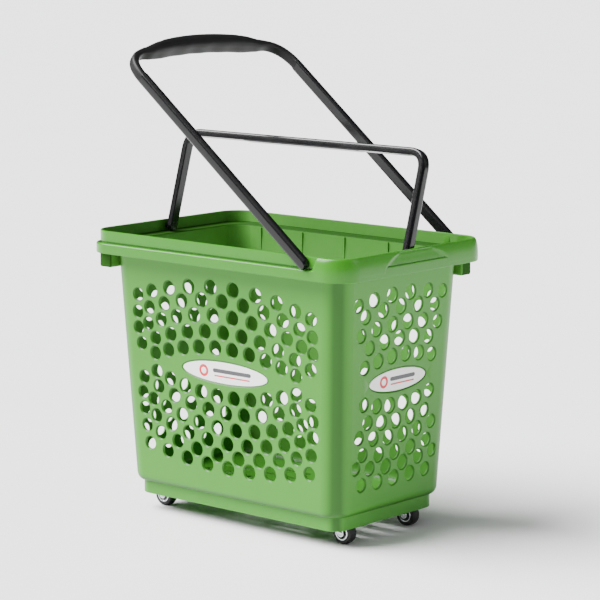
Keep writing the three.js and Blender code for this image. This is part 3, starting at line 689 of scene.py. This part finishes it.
def handle_section(half_thickness, half_width):
    """Section of a moulded arm: a round outer side, a flat inner one, and a groove along each wide face."""
    t, w = half_thickness, half_width
    groove = 0.3 * t
    outer = [(groove - 0.7, w), (groove - 0.4, w - 0.5), (groove + 0.4, w - 0.5), (groove + 0.7, w - 0.05)]
    for degrees in (12, 27, 42, 57, 72, 84):
        angle = math.radians(degrees)
        outer.append((0.38 * t + 0.62 * t * math.sin(angle), 0.45 * w + 0.53 * w * math.cos(angle)))
    outer += [(t, 0.2 * w)]
    inner = [(-t, 0.6 * w), (-t, w - 1.6), (-t + 0.35, w - 0.75), (-t + 0.9, w - 0.2), (-t + 1.7, w)]
    top = outer[::-1] + inner[::-1]
    return [(s, -h) for s, h in reversed(top)] + top


def bezier(a, b, c, steps):
    return [a * (1 - t) ** 2 + b * 2 * t * (1 - t) + c * t ** 2
            for t in (i / steps for i in range(1, steps + 1))]


def u_path(arm, splay, bar, bend, bow, arm_steps=10, bend_steps=14, bar_steps=40):
    """Middle line of a U-shaped handle in its own plane: distance out from the pivot axis, and along it."""
    top = arm + splay
    start, elbow = Vector((0.0, -arm)), Vector((bar - bend, -top))
    corner, bar_start = Vector((bar, -top)), Vector((bar, bend - top))
    mirror = Matrix(((1, 0), (0, -1)))
    points = [start.lerp(elbow, i / arm_steps) for i in range(arm_steps + 1)]
    points += bezier(elbow, corner, bar_start, bend_steps)
    half_bar = bezier(bar_start, Vector((bar + 2 * bow, 0.0)), mirror @ bar_start, bar_steps)
    points += half_bar[:bar_steps // 2]
    return points + [mirror @ p for p in reversed(points[:-1])]


def u_stations(points):
    """Each point with its outward direction in the plane of the handle."""
    for i, point in enumerate(points):
        ahead = points[min(i + 1, len(points) - 1)] - points[max(i - 1, 0)]
        yield point, Vector((-ahead.y, ahead.x)).normalized() * -1.0


def u_handle(skin, place, points, section_at, end_radius):
    """Sweeps a section along a handle and rounds its arms' ends. place takes out, along and across."""
    stations = list(u_stations(points))
    rings = []
    for degrees in END_ANGLES:
        angle = math.radians(degrees)
        rings.append((Vector((-end_radius * math.sin(angle), points[0].y)), stations[0][1], math.cos(angle)))
    rings += [(point, out, 1.0) for point, out in stations]
    far_end, far_out = points[-1].y, stations[-1][1]
    rings += [(Vector((p.x, far_end)), far_out, squeeze)
              for p, out, squeeze in reversed(rings[:len(END_ANGLES)])]
    loops = []
    for point, out, squeeze in rings:
        loop = []
        for s, h in section_at(point):
            q = point + out * s
            loop.append(place(q.x, q.y, h * squeeze))
        loops.append(loop)
    rows = ring_stack(skin, loops)
    skin.faces += [rows[0], rows[-1]]


def in_pull_plane(out, along, across):
    a = math.radians(PULL_ANGLE)
    return PULL_PIVOT + Vector((-math.cos(a), 0.0, math.sin(a))) * out + Vector((0.0, along, 0.0)) + \
        Vector((math.sin(a), 0.0, math.cos(a))) * across


PULL_SECTION = handle_section(PULL_HALF_THICKNESS, PULL_HALF_WIDTH)
PULL_CORE = handle_section(PULL_HALF_THICKNESS - CORE_INSET, PULL_HALF_WIDTH - CORE_INSET)
GRIP_START = PULL_BAR - PULL_BEND


def pull_section(point):
    if point.x > GRIP_START + 2.0:
        return PULL_CORE
    return PULL_SECTION


# Black polypropylene with a fine polish: dark, with clear soft-edged reflections of the room along each edge.
black_polypropylene = moulded("black_gloss_polypropylene", "#09090a", "#0e0e10", 45.0, 0.2, 2.0, 0.004,
                              specular=0.35)
pull_points = u_path(PULL_ARM_Y, PULL_SPLAY, PULL_BAR, PULL_BEND, PULL_BOW)
pull_skin = Skin()
u_handle(pull_skin, in_pull_plane, pull_points, pull_section, PULL_HALF_WIDTH)
pull_handle = pull_skin.finish("pull_handle_arms", black_polypropylene, 28.0)
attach(pull_handle, "pull_handle")
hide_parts("pull_handle")


# ---------------------------------------------------------------------------
# Grip of the pull handle: soft black thermoplastic rubber moulded over the bar
# and both bends. A raised palm pad lies outside, and finger waves inside.
# ---------------------------------------------------------------------------
PAD_HALF, PAD_HEIGHT, GRIP_HALF = 86.0, 0.8, 142.0
WAVE_HEIGHT, WAVE_LENGTH = 0.45, 46.0
GRIP_THICKNESS_GAIN, GRIP_WIDTH_GAIN = 6.6, 5.4
SECTION_STEPS = 56


def grip_section(point):
    y = abs(point.y)
    swell = math.cos(math.pi / 2 * min(1.0, y / GRIP_HALF)) ** 0.6
    pad = 1.0 - smoothstep(y, PAD_HALF - 1.5, PAD_HALF)
    waves = WAVE_HEIGHT * math.cos(2 * math.pi * point.y / WAVE_LENGTH) * swell
    half_t = PULL_HALF_THICKNESS + GRIP_THICKNESS_GAIN * swell
    half_w = PULL_HALF_WIDTH + GRIP_WIDTH_GAIN * (1.0 - smoothstep(y, 90.0, GRIP_HALF))
    seam = -0.15 * half_t + 1.6 * math.sin(math.pi * point.y / WAVE_LENGTH) * swell
    section = []
    for i in range(SECTION_STEPS):
        angle = math.pi / 2 - 2 * math.pi * i / SECTION_STEPS
        c, d = math.cos(angle), math.sin(angle)
        s = math.copysign(abs(c) ** 0.66, c) * half_t
        h = math.copysign(abs(d) ** 0.6, d) * half_w
        outer = smoothstep(s, seam - 0.5, seam + 0.7)
        h *= 1.0 - 0.075 * (1.0 - outer) * swell
        raised = PAD_HEIGHT * pad * smoothstep(s, 0.25 * half_t, 0.5 * half_t)
        s += raised - (waves * -s / half_t if s < 0 else 0.0)
        section.append((s, h))
    return section


# Soft thermoplastic rubber: duller than the arms, with a fine sandy grain that spreads its highlights.
soft_grip = moulded("soft_black_thermoplastic_rubber", "#0c0c0c", "#121212", 25.0, 0.5, 1.0, 0.02,
                    specular=0.25)
grip_skin = Skin()
grip_stations = [(p, out) for p, out in u_stations(pull_points) if p.x > GRIP_START - 0.5]
grip_rings = []
closing = [0.7] + [0.0] * len(grip_stations) + [0.7]
for shrink, (point, out) in zip(closing, grip_stations[:1] + grip_stations + grip_stations[-1:]):
    ring = []
    for s, h in grip_section(point):
        q = point + out * s * (1.0 - shrink / PULL_HALF_THICKNESS)
        along = -0.6 if shrink else 0.0
        ring.append(in_pull_plane(q.x + along, q.y, h * (1.0 - shrink / PULL_HALF_WIDTH)))
    grip_rings.append(ring)
rows = ring_stack(grip_skin, grip_rings)
grip_skin.faces += [rows[0], rows[-1]]
pull_grip = grip_skin.finish("pull_handle_soft_grip", soft_grip, 40.0)
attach(pull_grip, "pull_handle")
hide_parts("pull_handle_grip")


# ---------------------------------------------------------------------------
# Carry handle: a shorter bail of the same black polypropylene, hinged at the
# middle of both ends of the rim, inside it. Its bar is a little deeper inside.
# ---------------------------------------------------------------------------
CARRY_PIVOT = Vector((0.0, 0.0, 441.0))
CARRY_LEAN = 16.5
CARRY_ARM_X, CARRY_BAR, CARRY_BEND = 245.5, 155.0, 28.0
CARRY_HALF_THICKNESS, CARRY_HALF_WIDTH = 6.0, 8.0
PALM_HALF, PALM_DEPTH = 115.0, 1.0


def in_carry_plane(out, along, across):
    a = math.radians(CARRY_LEAN)
    return CARRY_PIVOT + Vector((0.0, math.sin(a), math.cos(a))) * out + Vector((along, 0.0, 0.0)) + \
        Vector((0.0, -math.cos(a), math.sin(a))) * across


CARRY_SECTION = handle_section(CARRY_HALF_THICKNESS, CARRY_HALF_WIDTH)


def carry_section(point):
    palm = 1.0 - smoothstep(abs(point.y), PALM_HALF, PALM_HALF + 6.0)
    deeper = PALM_DEPTH * palm if point.x >= CARRY_BAR - 1.0 else 0.0
    return [(s - (deeper if s < -0.9 * CARRY_HALF_THICKNESS else 0.0), h) for s, h in CARRY_SECTION]


carry_points = u_path(CARRY_ARM_X, 0.0, CARRY_BAR, CARRY_BEND, 0.0, 6, 14, 60)
carry_skin = Skin()
u_handle(carry_skin, in_carry_plane, carry_points, carry_section, CARRY_HALF_WIDTH)
carry_handle = carry_skin.finish("carry_handle_bail", black_polypropylene, 28.0)
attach(carry_handle, "carry_handle")
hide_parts("carry_handle")


# ---------------------------------------------------------------------------
# Pivot pegs of both handles: low domed heads on short shafts, pushed through
# the arms and the rim. They match what they sit in, so they hardly show.
# ---------------------------------------------------------------------------
def turned_part(skin, place, profile, steps=32):
    """A turned shape: profile is a list of radii and heights, and place takes x, y and height."""
    circle = oval(1, 1, steps)
    rows = ring_stack(skin, [[place(radius * x, radius * y, height) for x, y in circle]
                             for radius, height in profile])
    skin.faces += [rows[0], rows[-1]]


def peg(name, node, material, place, head_radius, inner, thickness, shaft, tip):
    skin = Skin()
    profile = []
    for degrees in (80, 60, 40, 20, 4):
        angle = math.radians(degrees)
        profile.append((head_radius * math.cos(angle), inner + thickness * (0.85 - 0.35 * math.sin(angle))))
    head_back = inner + thickness
    profile += [(head_radius, head_back), (shaft, head_back), (shaft, tip - 1.0), (shaft - 1.0, tip)]
    turned_part(skin, place, profile)
    piece = skin.finish(name, material, 30.0)
    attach(piece, "basket")
    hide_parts(node)


for name, side in (("front", -1.0), ("back", 1.0)):
    peg("pull_peg_" + name, "pull_pivot_pin_" + name, green_painted_corner_shade,
        lambda x, y, z, side=side: PULL_PIVOT + Vector((x, side * z, y)), 6.5, 163.7, 1.3, 4.0, 176.2)
for name, side in (("left", -1.0), ("right", 1.0)):
    peg("carry_peg_" + name, "carry_pivot_pin_" + name, black_polypropylene,
        lambda x, y, z, side=side: CARRY_PIVOT + Vector((side * z, x, y)), 6.0, 237.6, 1.5, 4.0, 259.4)


# ---------------------------------------------------------------------------
# Castors: a black nylon housing under each corner of the plinth, a pressed zinc
# plated fork that swivels under it, and a rubber-tyred wheel on a riveted axle.
# ---------------------------------------------------------------------------
CASTOR_X, CASTOR_Y, TRAIL, WHEEL_RADIUS = 177.0, 76.0, 11.0, 18.0
CASTORS = [("front_left", -1, -1), ("front_right", 1, -1), ("back_left", -1, 1), ("back_right", 1, 1)]
LEG_INNER, LEG_OUTER, PLATE_BOTTOM, PLATE_TOP = 9.2, 10.8, 38.4, 40.2
PLATE_PROFILE = [(4.6, PLATE_BOTTOM), (12.5, PLATE_BOTTOM), (13.0, PLATE_BOTTOM + 0.4),
                 (13.0, PLATE_TOP - 0.4), (12.5, PLATE_TOP), (4.6, PLATE_TOP)]
# Half sections, mirrored where the piece is alike on both sides: radius, and distance along the axis.
TYRE_PROFILE = [(12.3, -7.9), (13.0, -8.3), (14.9, -8.45), (16.2, -8.0), (17.2, -6.9), (17.7, -5.2),
                (17.92, -2.6), (18.0, 0.0)]
TYRE_PROFILE += [(r, -h) for r, h in reversed(TYRE_PROFILE[:-1])]
HUB_PROFILE = [(2.9, -8.5), (4.2, -8.6), (4.6, -8.2), (4.8, -3.4), (5.6, -2.7), (8.0, -2.7), (8.8, -3.3),
               (9.0, -6.6), (9.4, -7.0), (11.3, -7.0), (11.9, -6.7), (11.9, 0.0)]
RING_PROFILE = [(9.6, -7.05), (9.75, -8.0), (10.1, -8.3), (11.4, -8.3), (11.75, -8.0), (11.85, -7.05)]
HUB_PROFILE += [(r, -h) for r, h in reversed(HUB_PROFILE[:-1])]
HOUSING_PROFILE = [(0.5, 36.4), (4.8, 36.4), (5.5, 36.9), (5.6, 37.9), (4.0, 37.9), (4.0, 40.7), (14.6, 40.7),
                   (16.0, 41.1), (16.8, 42.0), (17.0, 43.2), (17.0, 46.9), (0.5, 46.9)]
AXLE_PROFILE = [(0.4, -12.4), (1.6, -12.35), (2.9, -12.0), (3.8, -11.6), (4.2, -11.1), (2.5, -11.1),
                (2.5, 0.0)]
AXLE_PROFILE += [(r, -h) for r, h in reversed(AXLE_PROFILE[:-1])]


def leg_outline():
    points = [(-9.0, PLATE_TOP - 0.4), (-9.0, 36.0), (-7.6, 33.2)]
    for step in range(13):
        angle = math.radians(190.0 + 160.0 * step / 12)
        points.append((TRAIL + 6.2 * math.cos(angle), WHEEL_RADIUS + 6.2 * math.sin(angle)))
    points += [(14.6, 30.5), (12.8, 34.6), (9.0, PLATE_TOP - 0.4)]
    return points


def bevelled_plate(skin, place, points, low, high, bevel=0.3):
    """A flat stamping with softened edges: place takes the two flat coordinates and the height through it."""
    middle = sum((Vector(p) for p in points), Vector((0.0, 0.0))) / len(points)
    small = [Vector(p) + (middle - Vector(p)).normalized() * bevel for p in points]
    loops = [[place(p[0], p[1], low) for p in small], [place(p[0], p[1], low + bevel) for p in points],
             [place(p[0], p[1], high - bevel) for p in points], [place(p[0], p[1], high) for p in small]]
    rows = ring_stack(skin, loops)
    skin.faces += [rows[0], rows[-1]]


# Bright zinc plating on pressed steel is a pale metal with a slightly cloudy shine. The housing's nylon is a
# dull black, the tyre's rubber is darker and matt, and the hub's nylon is a dark grey.
zinc_plate = moulded("bright_zinc_plated_steel", "#c4c8cc", "#dcdfe2", 3.0, 0.24, 0.8, 0.004, metallic=1.0)
rivet_steel = moulded("polished_rivet_steel", "#b4b6ba", "#c8cacd", 2.0, 0.2, 0.8, 0.004, metallic=1.0)
black_nylon = moulded("black_moulded_nylon", "#161617", "#1e1e20", 8.0, 0.45, 1.0, 0.01)
tyre_rubber = moulded("black_tyre_rubber", "#101011", "#19191a", 5.0, 0.55, 0.8, 0.02, specular=0.4)
hub_nylon = moulded("dark_grey_moulded_nylon", "#37393b", "#434547", 5.0, 0.35, 0.8, 0.006)
for name, side_x, side_y in CASTORS:
    centre = Vector((CASTOR_X * side_x, CASTOR_Y * side_y, 0.0))

    def at_swivel(x, y, z, centre=centre, side_x=side_x):
        return centre + Vector((side_x * x, side_x * y, z))

    def on_axle(x, y, z):
        return at_swivel(TRAIL + x, z, WHEEL_RADIUS + y)

    fork = Skin()
    plate_loops = []
    for radius, z in PLATE_PROFILE:
        plate_loops.append([at_swivel(radius * c, radius * d, z) for c, d in oval(1, 1, 40)])
    plate_rows = ring_stack(fork, plate_loops)
    fork.band(plate_rows[-1], plate_rows[0])
    for side in (-1.0, 1.0):
        bevelled_plate(fork, lambda x, z, y, side=side: at_swivel(x, side * y, z), leg_outline(),
                       LEG_INNER, LEG_OUTER)
    housing, axle, hub, tyre = Skin(), Skin(), Skin(), Skin()
    turned_part(housing, at_swivel, HOUSING_PROFILE, 40)
    turned_part(axle, on_axle, AXLE_PROFILE, 28)
    for skin, profile, steps in ((hub, HUB_PROFILE, 48), (tyre, TYRE_PROFILE, 64)):
        loops = [[on_axle(r * c, r * d, h) for c, d in oval(1, 1, steps)] for r, h in profile]
        wheel_rows = ring_stack(skin, loops)
        skin.band(wheel_rows[-1], wheel_rows[0])
    ring = Skin()
    for side in (-1.0, 1.0):
        loops = [[on_axle(r * c, r * d, side * h) for c, d in oval(1, 1, 48)] for r, h in RING_PROFILE]
        ring_rows = ring_stack(ring, loops)
        ring.band(ring_rows[-1], ring_rows[0])
    trim = ring.finish("wheel_trim_of_castor_" + name, zinc_plate, 30.0)
    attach(trim, "wheel_" + name)
    for skin, kind, material, body, slot in [
            (housing, "housing", black_nylon, "basket", "castor_housing_black"),
            (fork, "fork", zinc_plate, "castor_" + name, "castor_zinc"),
            (axle, "axle", rivet_steel, "castor_" + name, "axle_steel"),
            (hub, "hub", hub_nylon, "wheel_" + name, "castor_hub_grey"),
            (tyre, "tyre", tyre_rubber, "wheel_" + name, "castor_tyre_black")]:
        piece = skin.finish(kind + "_of_castor_" + name, material, 30.0)
        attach(piece, body)
        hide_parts("castor_" + kind + "_" + name)


# ---------------------------------------------------------------------------
# Last, the view layer is brought up to date.
# ---------------------------------------------------------------------------
bpy.context.view_layer.update()
